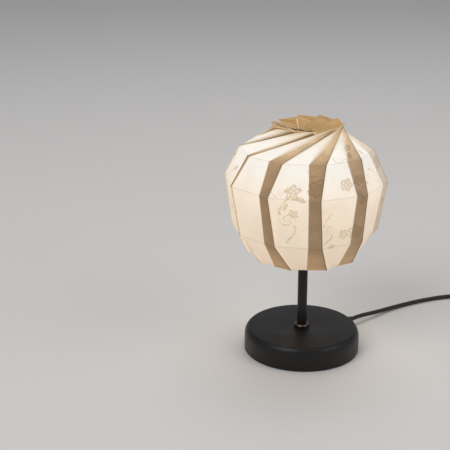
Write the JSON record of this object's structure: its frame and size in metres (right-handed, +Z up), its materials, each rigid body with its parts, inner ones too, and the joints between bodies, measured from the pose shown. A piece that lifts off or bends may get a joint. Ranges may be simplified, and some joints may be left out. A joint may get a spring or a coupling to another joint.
{
  "type": "table lamp",
  "caption": "Table lamp with a knife-pleated folded paper ball shade on a wire harp, a slim black stem, a round weighted base and a switched mains lead.",
  "frame": {"origin": "centre of the underside of the base's foot ring, on the stem's axis", "axes": "+Z up along the stem; -Y is the front; the mains lead leaves the base between +X and +Y"},
  "size_m": [0.4374, 0.2308, 0.2438],
  "materials": {
    "base_black": "satin black powder coat",
    "stem_black": "semi-gloss black",
    "collar_black": "gloss black, bright chamfer",
    "ballast_iron": "as cast, rust-proofed",
    "plated_steel": "zinc plated",
    "foot_foam": "matt closed-cell foam",
    "lead_rubber": "moulded, satin",
    "flex_black": "satin flex sheath",
    "core_insulation": "smooth insulation",
    "white_nylon": "moulded",
    "holder_black": "moulded phenolic, satin",
    "holder_ceramic": "unglazed white",
    "contact_brass": "pressed",
    "harp_wire": "white enamel wire",
    "bulb_cap_metal": "rolled thread, bright",
    "bulb_black_glass": "glossy black",
    "bulb_plastic": "white moulded",
    "bulb_opal": "opal, lit warm white",
    "shade_paper": "warm white, folded, faint tan floral print",
    "switch_plastic": "satin moulded",
    "rocker_plastic": "gloss moulded",
    "tie_strap": "woven hook strap",
    "plug_plastic": "moulded, satin",
    "pin_brass": "nickel-plated ends"
  },
  "bodies": {
    "stand": {"base_pad": "foot_foam", "base_plate": "plated_steel", "base_screws": "plated_steel", "base_shell": "base_black", "base_weight": "ballast_iron", "centre_contact": "contact_brass", "clamp_screws": "plated_steel", "coil_tie": "tie_strap", "cord_bushing": "lead_rubber", "cord_clamp": "white_nylon", "cord_coil": "flex_black", "cord_inside": "flex_black", "cord_to_coil": "flex_black", "cord_to_plug": "flex_black", "cord_to_switch": "flex_black", "harp_disc": "harp_wire", "harp_leg_left": "harp_wire", "harp_leg_right": "harp_wire", "harp_saddle": "harp_wire", "holder_cap": "holder_black", "holder_insert": "holder_ceramic", "holder_nut": "plated_steel", "holder_sleeve": "holder_black", "inner_wires": "core_insulation", "lock_washer": "plated_steel", "plug_body": "plug_plastic", "plug_boot": "plug_plastic", "plug_pins": "pin_brass", "socket_shell": "contact_brass", "stem_collar": "collar_black", "stem_nut": "plated_steel", "stem_tube": "stem_black", "switch_base": "switch_plastic", "switch_cover": "switch_plastic", "switch_screws": "plated_steel"},
    "shade": {"shade_skirt": "shade_paper", "shade_lower": "shade_paper", "shade_upper": "shade_paper", "shade_shoulder": "shade_paper", "shade_crown": "shade_paper"},
    "bulb": {"bulb_cap": "bulb_cap_metal", "bulb_contact": "bulb_cap_metal", "bulb_insulator": "bulb_black_glass", "bulb_collar": "bulb_plastic", "bulb_board": "bulb_plastic", "bulb_globe": "bulb_opal"},
    "ring": {"ring_nut": "holder_black"},
    "rocker": {"switch_rocker": "rocker_plastic"}
  },
  "joints": [
    {"name": "shade_lift", "type": "slide", "parent": "stand", "child": "shade", "axis": [0, 0, 1], "range_m": [0, 0.13]},
    {"name": "bulb_turn", "type": "hinge", "parent": "stand", "child": "bulb", "pos_m": [0, 0, 0.13], "axis": [0, 0, 1], "range_deg": [0, 1080]},
    {"name": "ring_turn", "type": "hinge", "parent": "stand", "child": "ring", "pos_m": [0, 0, 0.117], "axis": [0, 0, 1], "range_deg": [0, 720]},
    {"name": "rocker_tilt", "type": "hinge", "parent": "stand", "child": "rocker", "pos_m": [0.261, 0.138, 0.0126], "axis": [0, -1, 0], "range_deg": [0, 20]}
  ]
}
